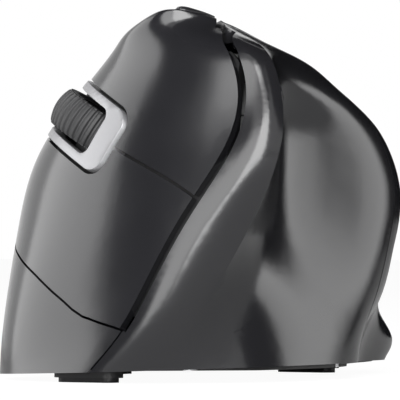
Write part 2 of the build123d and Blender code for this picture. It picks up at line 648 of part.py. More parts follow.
def cut_shells():
    """Thumb shell, palm shell and the two main buttons, cut from one skin."""
    outer = outer_form()
    skin = outer - inner_form(WALL)
    slot = [(SLOT_PLACE_SHARE, level) for level in
            np.linspace(SEAM_CORNER_SHARE, SLOT_TOP_SHARE, SLOT_POINTS)]
    below = [(SLOT_PLACE_SHARE, level) for level in
             np.linspace(0, SEAM_CORNER_SHARE, SKIRT_POINTS)]
    rear = [(REAR_SEAM_PLACE_SHARE, level) for level in
            np.linspace(0, REAR_SEAM_TOP_SHARE, SLOT_POINTS)]
    seam = SHELL_SEAM_WIDTH
    for cutter in (curtain(slot, SLOT_WIDTH, end=seam),
                   curtain(below, seam, start=OVERRUN, end=seam),
                   curtain(rear, seam, start=OVERRUN, end=seam),
                   stroke(FLOOR, plan_points(RIDGE_SLOT_SHARES), SLOT_WIDTH, TOP_CUT),
                   stroke(FLOOR, plan_points(RIDGE_SEAM_SHARES), seam, TOP_CUT)):
        skin = skin - cutter
    thumb = solid_at(skin, *THUMB_PROBE_SHARES)
    rest = solid_at(skin, *PALM_PROBE_SHARES)
    outline = button_outline(outer)
    bezel = bezel_block(BEZEL_GAP, (-BEZEL_WIDTH, OVERRUN))
    palm = solid_at(rest - prism(outline, 0), *PALM_PROBE_SHARES)
    both = rest.intersect(prism(outline, -BUTTON_SEAM_WIDTH))
    both = Compound(both) if isinstance(both, list) else both
    both = both - bezel - dpi_block(RUN_GAP, (-OVERRUN, OVERRUN))
    split = skin_points((*SPLIT_FRONT_SHARES, *SPLIT_REAR_SHARES), SEAM_POINTS)
    both = both - stroke(FACING_PLANE, split, SPLIT_WIDTH, FRONT_CUT, OVERRUN, OVERRUN)
    index = solid_at(both, *INDEX_PROBE_SHARES)
    middle = solid_at(both, *MIDDLE_PROBE_SHARES)
    return outer, thumb, palm, index, middle


def within(shape, *others):
    """What a shape shares with each of the others, as one shape."""
    for other in others:
        shape = shape.intersect(other)
        if isinstance(shape, (list, tuple)):
            shape = Compound(list(shape))
    return shape


def screw(plane, at, low, high, radius, head_radius, head_height):
    """Shank from low to high along a plane's z, with its head beyond low."""
    shank = rod(plane, at, radius, (low, high))
    return shank + rod(plane, at, head_radius, (low - head_height, low))


def post_places():
    """Plan points of the two palm posts, then of the two thumb posts."""
    palm = [post_at(place) for place in PALM_POST_SHARES]
    return palm + [THUMB_FRONT_POST_AT, post_at(THUMB_REAR_POST_SHARE)]


def screw_post(outer, at):
    """Post inside a shell that takes one screw of the base."""
    post = rod(FLOOR, at, POST_RADIUS, (PLATE_TOP, POST_HEIGHT))
    return within(post, outer)


def screw_hole(at):
    """Hole for one screw of the base, with its play."""
    radius = SCREW_RADIUS + PLAY
    return rod(FLOOR, at, radius, (PLATE_BOTTOM, PLATE_TOP + SCREW_LENGTH))


def thumb_shell(outer, shell):
    """Band, flange and thumb scoop in one, open inside."""
    for at in post_places()[2:]:
        shell = shell + screw_post(outer, at)
        shell = shell - screw_hole(at)
    shell = shell - rim_block(outer, FIT_GAP, -OVERRUN, RIM_TOP + FIT_GAP)
    for step in (1, -1):
        shell = shell - side_block(step, RUN_GAP, (-SIDE_DEEP, OVERRUN))
    for at in SIDE_POSTS:
        shell = shell + rod(SIDE_PLANE, at, SMALL_POST_RADIUS,
                            (SIDE_BOARD_TOP, -SIDE_POST_ROOT))
        shell = shell - rod(SIDE_PLANE, at, SMALL_SCREW_RADIUS + PLAY,
                            (SIDE_BOARD_TOP, SIDE_BOARD_TOP + SMALL_SCREW_LENGTH))
    return solid_at(shell, *THUMB_PROBE_SHARES)


def palm_shell(outer, shell):
    """Back and palm side, down to the skirt."""
    for at in post_places()[:2]:
        shell = shell + screw_post(outer, at)
        shell = shell - screw_hole(at)
    return solid_at(shell, *PALM_PROBE_SHARES)


def nub(outer, at):
    """Rod from a button's inside down to just above its switch."""
    start = WHEEL_PLANE.from_local_coords(Vector(*at, HEIGHT / 2))
    hits = outer.find_intersection_points(Axis(start, -WHEEL_PLANE.z_dir))
    skin = max(WHEEL_PLANE.to_local_coords(hit[0]).Z for hit in hits)
    low = PRESS_GAP + PLUNGER_RISE + SWITCH_HEIGHT - BOARD_DEPTH
    return rod(WHEEL_PLANE, at, NUB_RADIUS, (low, skin - WALL / 2))


def micro_switch(at):
    """Snap-action switch of one main button, with its plunger."""
    x, y = at
    top = SWITCH_HEIGHT - BOARD_DEPTH
    half_long, half_wide = SWITCH_LENGTH / 2, SWITCH_WIDTH / 2
    body = block(WHEEL_PLANE, (x - half_long, x + half_long),
                 (y - half_wide, y + half_wide), (-BOARD_DEPTH, top))
    plunger = rod(WHEEL_PLANE, at, PLUNGER_RADIUS, (top, top + PLUNGER_RISE))
    return body + plunger


def tact_switch(plane, at, low, side, height, plunger_radius, plunger_rise):
    """Square push switch on a board."""
    x, y = at
    half = side / 2
    body = block(plane, (x - half, x + half), (y - half, y + half),
                 (low, low + height))
    return body + rod(plane, at, plunger_radius,
                      (low + height, low + height + plunger_rise))


def wheel_tyre():
    """Ribbed rubber ring, crowned across its width."""
    pitch = 2 * math.pi / RIB_COUNT
    points = []
    for rib in range(RIB_COUNT):
        for turn, radius in ((0, WHEEL_RADIUS), (RIB_SHARE, WHEEL_RADIUS),
                             (RIB_SHARE, WHEEL_RADIUS - RIB_DEPTH),
                             (1, WHEEL_RADIUS - RIB_DEPTH)):
            angle = (rib + turn) * pitch
            points.append((radius * math.cos(angle), radius * math.sin(angle), 0))
    half = WHEEL_WIDTH / 2
    ring = Solid.extrude(Face(Wire.make_polygon(points)), Vector(0, 0, WHEEL_WIDTH))
    ring = Pos(0, 0, -half) * ring
    edge = WHEEL_RADIUS - CROWN_DROP
    crown = Wire([Edge.make_line((HUB_RADIUS, 0, -half), (edge, 0, -half)),
                  Edge.make_three_point_arc((edge, 0, -half), (WHEEL_RADIUS, 0, 0),
                                            (edge, 0, half)),
                  Edge.make_line((edge, 0, half), (HUB_RADIUS, 0, half)),
                  Edge.make_line((HUB_RADIUS, 0, half), (HUB_RADIUS, 0, -half))])
    crown = Solid.revolve(Face(crown), 360, Axis.Z)
    return AXLE_PLANE.location * within(ring, crown)


def wheel_hub():
    """Plastic centre of the wheel: rim, web with round holes, boss."""
    half = WHEEL_WIDTH / 2
    face = half - HUB_INSET
    hub = Cylinder(HUB_RADIUS, 2 * face)
    reach = WHEEL_WIDTH - HUB_WEB / 2
    pocket = Cylinder(HUB_RADIUS - HUB_RIM, reach) - Cylinder(HUB_BOSS_RADIUS, reach)
    for side in (-1, 1):
        hub = hub - Pos(0, 0, side * (HUB_WEB + reach) / 2) * pocket
    middle = (HUB_BOSS_RADIUS + HUB_RADIUS - HUB_RIM) / 2
    hole = (HUB_RADIUS - HUB_RIM - HUB_BOSS_RADIUS) / 2 * SPOKE_HOLE_SHARE
    for turn in range(SPOKE_HOLES):
        angle = 2 * math.pi * turn / SPOKE_HOLES
        hub = hub - Pos(middle * math.cos(angle), middle * math.sin(angle), 0) * (
            Cylinder(hole, WHEEL_WIDTH))
    return AXLE_PLANE.location * (hub - Cylinder(AXLE_RADIUS, WHEEL_WIDTH))


def wheel_axle():
    """Pin through the hub; its longer end turns the encoder."""
    reach = WHEEL_WIDTH / 2 + FORK_GAP + FORK_ARM
    return AXLE_PLANE.location * Pos(0, 0, AXLE_EXTRA / 2) * (
        Cylinder(AXLE_RADIUS, 2 * reach + AXLE_EXTRA))


def wheel_carrier():
    """Fork that holds the wheel and sinks as one with it."""
    half = FORK_LENGTH / 2
    fork = block(WHEEL_PLANE, (-half, half), (-ARM_OUTER, ARM_OUTER),
                 (FORK_FLOOR - FORK_BRIDGE, FORK_FLOOR))
    for low, high in ((-ARM_OUTER, -ARM_INNER), (ARM_INNER, ARM_OUTER)):
        fork = fork + block(WHEEL_PLANE, (-half, half), (low, high),
                            (FORK_FLOOR - FORK_BRIDGE, -FORK_TOP))
    tab = FORK_TAB_WIDTH / 2
    fork = fork + block(WHEEL_PLANE, (-tab, tab), (-FORK_TAB_REACH, -ARM_INNER),
                        (TAB_LOW, TAB_LOW + FORK_TAB_THICK))
    bore = Cylinder(AXLE_RADIUS + AXLE_CLEARANCE, 4 * ARM_OUTER)
    return fork - AXLE_PLANE.location * bore


def wheel_encoder():
    """Rotary encoder on the fork's upper arm, turned by the axle."""
    long, wide, high = ENCODER_SIZE
    top = high / 2 + ENCODER_RAISE - WHEEL_CENTRE_DROP
    body = block(WHEEL_PLANE, (-long / 2, long / 2), (ARM_OUTER, ARM_OUTER + wide),
                 (top - high, top))
    reach = ARM_OUTER + AXLE_EXTRA + AXLE_CLEARANCE
    bore = Pos(0, 0, reach / 2) * Cylinder(AXLE_RADIUS + AXLE_CLEARANCE, reach)
    return body - AXLE_PLANE.location * bore


def wheel_bezel(outer, clear):
    """Bright frame round the wheel, set in the skin and a little proud."""
    ring = bezel_block(0, (-BEZEL_WIDTH, OVERRUN))
    ring = ring - pill(WHEEL_PLANE, (BEZEL_OPEN_MIDDLE, 0), BEZEL_OPEN_LENGTH,
                       BEZEL_OPEN_WIDTH, BEZEL_OPEN_CORNER, (-BEZEL_WIDTH, OVERRUN))
    lift = WHEEL_PLANE.z_dir * BEZEL_PROUD
    raised = Pos(lift.X, lift.Y, lift.Z) * outer
    ring = within(ring, raised) - clear
    return max(ring.solids(), key=lambda piece: piece.volume)


def inner_chassis(outer, clear, hollow):
    """Dark inner frame close behind the buttons, with posts for its board."""
    front = RIDGE_FRONT_SHARE * PLAN
    box = Box(PLAN, PLAN + CHASSIS_REAR, 2 * HEIGHT)
    box = Pos(CHASSIS_THUMB - PLAN / 2, (CHASSIS_REAR - PLAN) / 2,
              CHASSIS_LOW + HEIGHT) * box
    top = CAVITY_LEVEL_SHARES[-1]
    height = level_height(0, front, top) - CHASSIS_TOP_GAP
    lid = Plane(origin=(0, front, height), x_dir=(1, 0, 0),
                z_dir=(0, top * RIDGE_FALL / RIDGE_RUN, 1))
    lid_block = block(lid, (-PLAN, PLAN), (-PLAN, PLAN), (0, PLAN))
    frame = within(clear - hollow, box) - lid_block
    frame = solid_at(frame, *MIDDLE_PROBE_SHARES, WALL + CHASSIS_GAP + CHASSIS_WALL / 2)
    low = DPI_SHELF - DPI_SHELF_THICK
    side = DPI_TACT_SIDE / 2
    bracket = block(DPI_PLANE, (-side, side), (-side - CHASSIS_WALL, side + CHASSIS_WALL),
                    (low, -WALL))
    bracket = bracket - block(DPI_PLANE, (-OVERRUN, OVERRUN), (-side, side),
                              (DPI_SHELF, OVERRUN))
    frame = frame + within(bracket, clear)
    for at in SWITCH_BOARD_POSTS:
        frame = frame + within(rod(WHEEL_PLANE, at, SMALL_POST_RADIUS,
                                   (-BOARD_DEPTH, OVERRUN)), clear)
        frame = frame - rod(WHEEL_PLANE, at, SMALL_SCREW_RADIUS + PLAY,
                            (-BOARD_DEPTH, SMALL_SCREW_LENGTH - BOARD_DEPTH))
    half_long, half_wide = WELL_LENGTH / 2, WELL_WIDTH / 2
    frame = frame - block(WHEEL_PLANE, (-half_long, half_long),
                          (-half_wide, half_wide), (-BOARD_DEPTH, OVERRUN))
    half_long, half_wide = SWITCH_LENGTH / 2 + RUN_GAP, SWITCH_WIDTH / 2 + RUN_GAP
    for x, y in (INDEX_SWITCH_AT, MIDDLE_SWITCH_AT):
        frame = frame - rod(WHEEL_PLANE, (x, y), NUB_RADIUS + CHASSIS_GAP,
                            (-BOARD_DEPTH, OVERRUN))
        frame = frame - block(WHEEL_PLANE, (x - half_long, x + half_long),
                              (y - half_wide, y + half_wide),
                              (-BOARD_DEPTH, SWITCH_HEIGHT + RUN_GAP - BOARD_DEPTH))
    long, wide, high = ENCODER_SIZE
    top = high / 2 + ENCODER_RAISE - WHEEL_CENTRE_DROP + CHASSIS_GAP
    frame = frame - block(WHEEL_PLANE, (-long / 2 - RUN_GAP, long / 2 + RUN_GAP),
                          (0, ARM_OUTER + wide + RUN_GAP), (-BOARD_DEPTH, top))
    frame = frame - block(SIDE_PLANE, SIDE_ROOM[0], SIDE_ROOM[1], SIDE_ROOM[2])
    frame = frame - rod(DPI_PLANE, (0, 0), STEM_RADIUS + RUN_GAP, (DPI_SHELF, OVERRUN))
    frame = frame - dpi_block(RUN_GAP, (-DPI_DEPTH - SMALL_TRAVEL - RUN_GAP, OVERRUN))
    return max(frame.solids(), key=lambda piece: piece.volume)


def switch_board(hollow):
    """Board under the wheel that carries the three switches."""
    board = block(WHEEL_PLANE, (-BOARD_REAR, BOARD_FRONT), (-BOARD_LOWER, BOARD_UPPER),
                  (-BOARD_DEPTH - BOARD_THICK, -BOARD_DEPTH))
    half_long, half_wide = WELL_LENGTH / 2, WELL_WIDTH / 2
    board = board - block(WHEEL_PLANE, (-half_long, half_long),
                          (-half_wide, half_wide), (-HEIGHT, 0))
    for at in SWITCH_BOARD_POSTS:
        board = board - rod(WHEEL_PLANE, at, SMALL_SCREW_RADIUS + PLAY,
                            (-HEIGHT, 0))
    board = within(board, hollow)
    return max(board.solids(), key=lambda piece: piece.volume)


def dpi_button(outer):
    """Small pill behind the wheel, with the stem that reaches its switch."""
    lift = DPI_PLANE.z_dir * DPI_PROUD
    raised = Pos(lift.X, lift.Y, lift.Z) * outer
    cap = within(dpi_block(0, (-DPI_DEPTH, OVERRUN)), raised)
    return cap + rod(DPI_PLANE, (0, 0), STEM_RADIUS, (DPI_STEM_END, -DPI_DEPTH))


def side_button(outer, step):
    """One thumb button of the flange."""
    lift = SIDE_PLANE.z_dir * SIDE_PROUD
    raised = Pos(lift.X, lift.Y, lift.Z) * outer
    cap = within(side_block(step, 0, (-SIDE_BUTTON_DEPTH, OVERRUN)), raised)
    return max(cap.solids(), key=lambda piece: piece.volume)


def side_board():
    """Board behind the two thumb buttons."""
    board = block(SIDE_PLANE, SIDE_BOARD_SPAN, (-SIDE_BOARD_HALF, SIDE_BOARD_HALF),
                  (SIDE_BOARD_TOP - SIDE_BOARD_THICK, SIDE_BOARD_TOP))
    for at in SIDE_POSTS:
        board = board - rod(SIDE_PLANE, at, SMALL_SCREW_RADIUS + PLAY,
                            (-HEIGHT, 0))
    return board


def side_switches():
    """The two push switches behind the thumb buttons."""
    return Compound([
        tact_switch(SIDE_PLANE, (0, -step * SIDE_PITCH / 2), SIDE_BOARD_TOP,
                    TACT_SIDE, TACT_HEIGHT, TACT_PLUNGER_RADIUS, TACT_PLUNGER)
        for step in (1, -1)])


def level_box(x_span, y_span, z_span):
    """Box square to the floor."""
    return block(FLOOR, x_span, y_span, z_span)


def receiver_space(grow, low, high):
    """Space of the stored receiver, grown all round in plan."""
    wide, body, _ = RECEIVER_SIZE
    length = body + PLUG_SIZE[1]
    x, y = RECEIVER_AT
    return level_box((x - wide / 2 - grow, x + wide / 2 + grow),
                     (y - length / 2 - grow, y + length / 2 + grow), (low, high))


def foot_plans():
    """Plane of each foot pad, with its length along the plane's x."""
    front = Plane(origin=(*FRONT_PAD_AT, 0))
    rear = Plane(origin=(*REAR_PAD_AT, 0))
    side = Plane(origin=(*SIDE_PAD_AT, 0), x_dir=(0, 1, 0), z_dir=(0, 0, 1))
    return {"front_foot_pad": (front, PAD_LENGTH), "rear_foot_pad": (rear, PAD_LENGTH),
            "side_foot_pad": (side, PAD_LENGTH)}


def foot_block(plane, length, grow, low, high):
    """Round-ended block in the plan of one foot pad, grown all round."""
    return pill(plane, (0, 0), length + 2 * grow, PAD_WIDTH + 2 * grow,
                PAD_WIDTH / 2 + grow - FIT_GAP, (low, high))


def base_plate(outer, seat):
    """Bottom plate with its rim, feet, battery bay and receiver bay."""
    slab = level_box((-PLAN, PLAN), (-PLAN, PLAN), (PLATE_BOTTOM, PLATE_TOP))
    for plane, length in foot_plans().values():
        slab = slab + foot_block(plane, length, PEDESTAL_EDGE, PAD_FACE, PLATE_BOTTOM)
    plate = within(slab, seat)
    plate = plate + rim_block(outer, 0, PLATE_BOTTOM, RIM_TOP)
    x = BATTERY_AT[0]
    wide = BAY_HALF + BAY_WALL
    plate = plate + level_box((x - wide, x + wide),
                              (BAY_START - BAY_WALL, BAY_END + BAY_WALL),
                              (BAY_WALL_FOOT, BAY_TOP))
    lip = DOOR_LIP
    plate = plate - level_box((x - BAY_HALF - lip, x + BAY_HALF + lip),
                              (BAY_START - lip, BAY_END + lip), (0, BAY_WALL_FOOT))
    plate = plate - level_box((x - BAY_HALF, x + BAY_HALF), (BAY_START, BAY_END),
                              (0, HEIGHT))
    high = RECEIVER_BOTTOM + RECEIVER_SIZE[2] + RECEIVER_GAP
    plate = plate + receiver_space(RECEIVER_GAP + BAY_WALL, PLATE_TOP, high + BAY_WALL)
    plate = plate - receiver_space(RECEIVER_GAP, 0, high)
    for at in MAIN_BOARD_POSTS:
        plate = plate + rod(FLOOR, at, SMALL_POST_RADIUS, (PLATE_TOP, MAIN_BOARD_BOTTOM))
        plate = plate - rod(FLOOR, at, SMALL_SCREW_RADIUS + PLAY,
                            (MAIN_BOARD_TOP - SMALL_SCREW_LENGTH, MAIN_BOARD_TOP))
    for at in post_places():
        plate = plate - rod(FLOOR, at, SCREW_RADIUS + FIT_GAP, (0, RIM_TOP))
        plate = plate - rod(FLOOR, at, SCREW_HEAD_RADIUS + FIT_GAP,
                            (0, PLATE_BOTTOM + SCREW_HEAD_HEIGHT))
    plate = plate - rod(FLOOR, SENSOR_AT, LENS_WINDOW_RADIUS, (0, PLATE_TOP))
    x, y = POWER_AT
    tab_wide, tab_long = POWER_TAB
    plate = plate - level_box(
        (x - tab_wide / 2 - RUN_GAP, x + tab_wide / 2 + RUN_GAP),
        (y - tab_long / 2 - RUN_GAP, y + tab_long / 2 + POWER_TRAVEL + RUN_GAP),
        (0, PLATE_TOP))
    for plane, length in foot_plans().values():
        plate = plate - foot_block(plane, length, FIT_GAP, 0, PAD_FACE + PAD_SEAT)
    return max(plate.solids(), key=lambda piece: piece.volume)


def main_board(hollow):
    """Main circuit board over the front of the base."""
    wing_x, wing_y = MAIN_BOARD_WING
    span = (MAIN_BOARD_BOTTOM, MAIN_BOARD_TOP)
    board = level_box((-PLAN, MAIN_BOARD_THUMB), (-PLAN, MAIN_BOARD_REAR), span)
    board = board + level_box((-PLAN, wing_x), (MAIN_BOARD_REAR, wing_y), span)
    for at in post_places():
        board = board - rod(FLOOR, at, POST_RADIUS + CHASSIS_GAP, (0, HEIGHT))
    for at in MAIN_BOARD_POSTS:
        board = board - rod(FLOOR, at, SMALL_SCREW_RADIUS + PLAY, (0, HEIGHT))
    board = within(board, hollow)
    return max(board.solids(), key=lambda piece: piece.volume)


def sensor_lens():
    """Clear lens between the window in the plate and the sensor."""
    long, wide = LENS_SIZE
    x, y = SENSOR_AT
    lens = level_box((x - long / 2, x + long / 2), (y - wide / 2, y + wide / 2),
                     (PLATE_TOP, MAIN_BOARD_BOTTOM))
    return lens + rod(FLOOR, SENSOR_AT, LENS_RADIUS,
                      (PLATE_BOTTOM + PAD_FACE, PLATE_TOP))


def sensor_chip():
    """Optical sensor on top of the main board."""
    long, wide, high = SENSOR_SIZE
    x, y = SENSOR_AT
    return level_box((x - long / 2, x + long / 2), (y - wide / 2, y + wide / 2),
                     (MAIN_BOARD_TOP, MAIN_BOARD_TOP + high))


def power_switch():
    """Slide switch body under the board's wing."""
    wide, long, high = POWER_BODY
    x, y = POWER_AT
    middle = y + POWER_TRAVEL / 2
    return level_box((x - wide / 2, x + wide / 2), (middle - long / 2, middle + long / 2),
                     (MAIN_BOARD_BOTTOM - high, MAIN_BOARD_BOTTOM))


def power_slider():
    """Slider whose tab shows in a slot of the base."""
    x, y = POWER_AT
    wide, long, high = POWER_PLATE
    tab_wide, tab_long = POWER_TAB
    top = MAIN_BOARD_BOTTOM - POWER_BODY[2] - SLIDE_GAP
    slide = level_box((x - wide / 2, x + wide / 2), (y - long / 2, y + long / 2),
                      (top - high, top))
    return slide + level_box((x - tab_wide / 2, x + tab_wide / 2),
                             (y - tab_long / 2, y + tab_long / 2),
                             (PLATE_BOTTOM + PAD_SEAT, top))


def battery():
    """Round cell lying along the mouse."""
    axis = Plane(origin=(BATTERY_AT[0], BATTERY_START, BATTERY_AXIS_HEIGHT),
                 x_dir=(1, 0, 0), z_dir=(0, 1, 0))
    cell = rod(axis, (0, 0), BATTERY_RADIUS, (0, BATTERY_LENGTH))
    return cell + rod(axis, (0, 0), BATTERY_TIP_RADIUS, (-BATTERY_TIP, 0))


def battery_plate_contact():
    """Flat contact at the tip of the cell."""
    x, half = BATTERY_AT[0], CONTACT_WIDTH / 2
    return level_box((x - half, x + half), (BAY_START, BAY_START + CONTACT_THICK),
                     (BATTERY_AXIS_HEIGHT - half, BATTERY_AXIS_HEIGHT + CONTACT_RISE))


def leaf(x, points):
    """Strip as wide as a contact, from its outline in Y and Z."""
    face = Face(Wire.make_polygon([(x, y, z) for y, z in points]))
    return Solid.extrude(face, Vector(CONTACT_WIDTH, 0, 0))


def battery_spring():
    """Bent leaf spring at the flat end of the cell."""
    x, half = BATTERY_AT[0], CONTACT_WIDTH / 2
    end = BATTERY_START + BATTERY_LENGTH
    back = BAY_END - CONTACT_THICK
    z = BATTERY_AXIS_HEIGHT
    rise = CONTACT_RISE
    flat = CONTACT_THICK
    outline = [(BAY_END, z - half), (BAY_END, z + rise), (back, z + rise),
               (back, z), (end, z - half / 3), (end, z - half / 2), (back, z - half)]
    hollow = [(back, z - flat), (end + flat, z - half / 3 - flat / 2),
              (end + flat, z - half / 2 + flat / 2), (back, z - half + flat)]
    return leaf(x - half, outline) - leaf(x - half, hollow)


def battery_door():
    """Cover of the battery bay, flush with the base."""
    x = BATTERY_AT[0]
    edge = BAY_HALF + DOOR_LIP - FIT_GAP
    door = level_box((x - edge, x + edge), (BAY_START - DOOR_LIP + FIT_GAP,
                                            BAY_END + DOOR_LIP - FIT_GAP),
                     (PLATE_BOTTOM, PLATE_BOTTOM + DOOR_THICK))
    for step in range(DOOR_GRIPS):
        y = BAY_END - DOOR_LIP * (step + 1)
        door = door - level_box((x - DOOR_GRIP_HALF, x + DOOR_GRIP_HALF),
                                (y - DOOR_GRIP_WIDTH / 2, y + DOOR_GRIP_WIDTH / 2),
                                (0, PLATE_BOTTOM + DOOR_GRIP_DEPTH))
    return door


def usb_receiver():
    """Plastic head of the stored receiver."""
    wide, body, high = RECEIVER_SIZE
    x, y = RECEIVER_AT
    end = y + (body + PLUG_SIZE[1]) / 2
    return level_box((x - wide / 2, x + wide / 2), (end - body, end),
                     (RECEIVER_BOTTOM, RECEIVER_BOTTOM + high))


def receiver_plug():
    """Metal plug of the receiver, open at its end."""
    wide, long, high = PLUG_SIZE
    x, y = RECEIVER_AT
    start = y - (RECEIVER_SIZE[1] + long) / 2
    low = RECEIVER_BOTTOM + (RECEIVER_SIZE[2] - high) / 2
    shell = level_box((x - wide / 2, x + wide / 2), (start, start + long),
                      (low, low + high))
    wall = CONTACT_THICK
    space = level_box((x - wide / 2 + wall, x + wide / 2 - wall),
                      (start, start + long - RECEIVER_SIZE[1] / 2),
                      (low + high / 2, low + high - wall))
    return shell - space


def base_screws():
    """The four screws that hold the base to the shells."""
    head = PLATE_BOTTOM + SCREW_HEAD_HEIGHT
    return Compound([screw(FLOOR, at, head, head + SCREW_LENGTH, SCREW_RADIUS,
                           SCREW_HEAD_RADIUS, SCREW_HEAD_HEIGHT)
                     for at in post_places()])


def board_screws():
    """The small screws of the three boards."""
    down = Plane(origin=(0, 0, MAIN_BOARD_TOP), x_dir=(1, 0, 0), z_dir=(0, 0, -1))
    places = [(down, (x, -y), 0) for x, y in MAIN_BOARD_POSTS]
    low = -BOARD_DEPTH - BOARD_THICK
    places += [(WHEEL_PLANE, at, low) for at in SWITCH_BOARD_POSTS]
    low = SIDE_BOARD_TOP - SIDE_BOARD_THICK
    places += [(SIDE_PLANE, at, low) for at in SIDE_POSTS]
    return Compound([screw(plane, at, low, low + SMALL_SCREW_LENGTH, SMALL_SCREW_RADIUS,
                           SMALL_HEAD_RADIUS, SMALL_HEAD_HEIGHT)
                     for plane, at, low in places])


def build():
    """Every piece by its node name, in the modelling frame."""
    outer, thumb, palm, index, middle = cut_shells()
    clear = inner_form(WALL + CHASSIS_GAP)
    hollow = inner_form(WALL + CHASSIS_GAP + CHASSIS_WALL)
    seat = inner_form(WALL + FIT_GAP)
    pieces = {
        "thumb_shell": thumb_shell(outer, thumb),
        "palm_shell": palm_shell(outer, palm),
        "index_button": index + nub(outer, INDEX_SWITCH_AT),
        "middle_button": middle + nub(outer, MIDDLE_SWITCH_AT),
        "wheel_bezel": wheel_bezel(outer, clear),
        "inner_chassis": inner_chassis(outer, clear, hollow),
        "switch_board": switch_board(hollow),
        "index_switch": micro_switch(INDEX_SWITCH_AT),
        "middle_switch": micro_switch(MIDDLE_SWITCH_AT),
        "wheel_switch": tact_switch(WHEEL_PLANE, WHEEL_SWITCH_AT, -BOARD_DEPTH,
                                    TACT_SIDE, TACT_HEIGHT, TACT_PLUNGER_RADIUS,
                                    TACT_PLUNGER),
        "dpi_switch": tact_switch(DPI_PLANE, (0, 0), DPI_SHELF, DPI_TACT_SIDE,
                                  DPI_TACT_HEIGHT, STEM_RADIUS, DPI_TACT_PLUNGER),
        "wheel_carrier": wheel_carrier(),
        "wheel_encoder": wheel_encoder(),
        "wheel_hub": wheel_hub(),
        "wheel_tyre": wheel_tyre(),
        "wheel_axle": wheel_axle(),
        "dpi_button": dpi_button(outer),
        "forward_button": side_button(outer, 1),
        "back_button": side_button(outer, -1),
        "side_board": side_board(),
        "side_switches": side_switches(),
        "base_plate": base_plate(outer, seat),
        "main_board": main_board(hollow),
        "sensor_lens": sensor_lens(),
        "sensor_chip": sensor_chip(),
        "power_switch": power_switch(),
        "power_slider": power_slider(),
        "battery": battery(),
        "battery_plate_contact": battery_plate_contact(),
        "battery_spring": battery_spring(),
        "battery_door": battery_door(),
        "usb_receiver": usb_receiver(),
        "receiver_plug": receiver_plug(),
        "base_screws": base_screws(),
        "board_screws": board_screws(),
    }
    for name, (plane, length) in foot_plans().items():
        pieces[name] = foot_block(plane, length, 0, 0, PAD_FACE + PAD_SEAT)
    return pieces


def main():
    """Write one file for each piece, with the floor's middle at the origin."""
    os.makedirs("parts", exist_ok=True)
    pieces = build()
    span = Compound([solid for piece in pieces.values()
                     for solid in piece.solids()]).bounding_box()
    middle = Pos(-span.center().X, -span.center().Y, -span.min.Z)
    for name, piece in pieces.items():
        export_step(middle * piece, f"parts/{name}.step")


if __name__ == "__main__":
    main()
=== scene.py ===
import json
import math

import bpy
import numpy as np
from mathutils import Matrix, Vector


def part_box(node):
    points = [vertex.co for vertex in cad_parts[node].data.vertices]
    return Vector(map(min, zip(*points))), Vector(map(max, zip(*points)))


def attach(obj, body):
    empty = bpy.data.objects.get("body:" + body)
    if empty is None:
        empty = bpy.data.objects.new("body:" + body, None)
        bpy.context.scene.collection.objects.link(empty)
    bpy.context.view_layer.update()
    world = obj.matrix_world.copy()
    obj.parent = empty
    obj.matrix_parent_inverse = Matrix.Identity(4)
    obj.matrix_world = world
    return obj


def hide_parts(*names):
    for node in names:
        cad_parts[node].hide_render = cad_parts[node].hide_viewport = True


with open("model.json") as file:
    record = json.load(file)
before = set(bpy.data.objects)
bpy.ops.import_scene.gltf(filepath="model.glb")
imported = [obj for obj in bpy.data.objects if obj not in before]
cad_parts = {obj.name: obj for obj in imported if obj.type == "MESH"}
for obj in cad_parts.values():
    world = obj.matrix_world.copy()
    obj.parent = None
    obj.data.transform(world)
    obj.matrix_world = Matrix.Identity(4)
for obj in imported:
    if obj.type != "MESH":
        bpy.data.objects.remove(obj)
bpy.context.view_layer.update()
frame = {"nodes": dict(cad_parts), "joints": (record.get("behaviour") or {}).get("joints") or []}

bl_info = {
    "name": "Vertical mouse",
    "version": (1, 0, 0),
    "blender": (4, 5, 0),
    "location": "3D View > Sidebar > Mouse",
    "description": "Builds the looks of an upright ergonomic mouse on its CAD frame",
    "category": "Object",
}

MM = 0.001

# The wheel's own frame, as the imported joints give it.
JOINTS = {joint["name"]: joint for joint in frame["joints"]}
WHEEL_CENTRE = np.array(JOINTS["wheel_spin"]["pos_m"])
WHEEL_AXIS = np.array(JOINTS["wheel_spin"]["axis"])
WHEEL_OUT = -np.array(JOINTS["wheel_click"]["axis"])

SHELLS = ("thumb_shell", "palm_shell")
BUTTONS = ("index_button", "middle_button")
SMALL_BUTTONS = ("dpi_button", "forward_button", "back_button")
BOARDS = ("main_board", "switch_board", "side_board")
SWITCHES = ("index_switch", "middle_switch", "wheel_switch", "dpi_switch",
            "side_switches", "power_switch", "wheel_encoder", "sensor_chip")
STEEL = ("wheel_axle", "battery_plate_contact", "battery_spring", "receiver_plug",
         "base_screws", "board_screws")
PADS = ("front_foot_pad", "rear_foot_pad", "side_foot_pad")

# Reach of the weld, and the turns in degrees past which an edge is rounded or split.
WELD_REACH = 0.002 * MM
ROUNDED_TURN = 40
SPLIT_TURN = 32
BEVEL_STEPS = 2

# Steps of the tyre's grid.
STEPS_PER_RIB = 18
CROWN_STEPS = 25
# A shoulder's width is a share of the half width, and its fullness would be 1 for
# a whole quarter circle. The bias is added to the cosine of the rib angle.
SHOULDER_WIDTH = 0.12
SHOULDER_FULLNESS = 0.99
FLANK_STEEPNESS = 3.2
RIB_BIAS = 0.25
# The tyre's section past its crown: down one side, through the bore, up the other.
# Each pair is the place along the axle and the share of the way up from the bore.
TYRE_RETURN = ((1, 0.92), (1, 0.5), (1, 0), (0.4, 0),
               (-0.4, 0), (-1, 0), (-1, 0.5), (-1, 0.92))

SWITCH_BLACK = (0.02, 0.02, 0.022)
SLIDER_GREY = (0.21, 0.21, 0.22)
CARD_BLACK = (0.002, 0.002, 0.002, 1)
FLOOR_GREY = (0.8, 0.8, 0.8, 1)
WHITE = (1, 1, 1, 1)

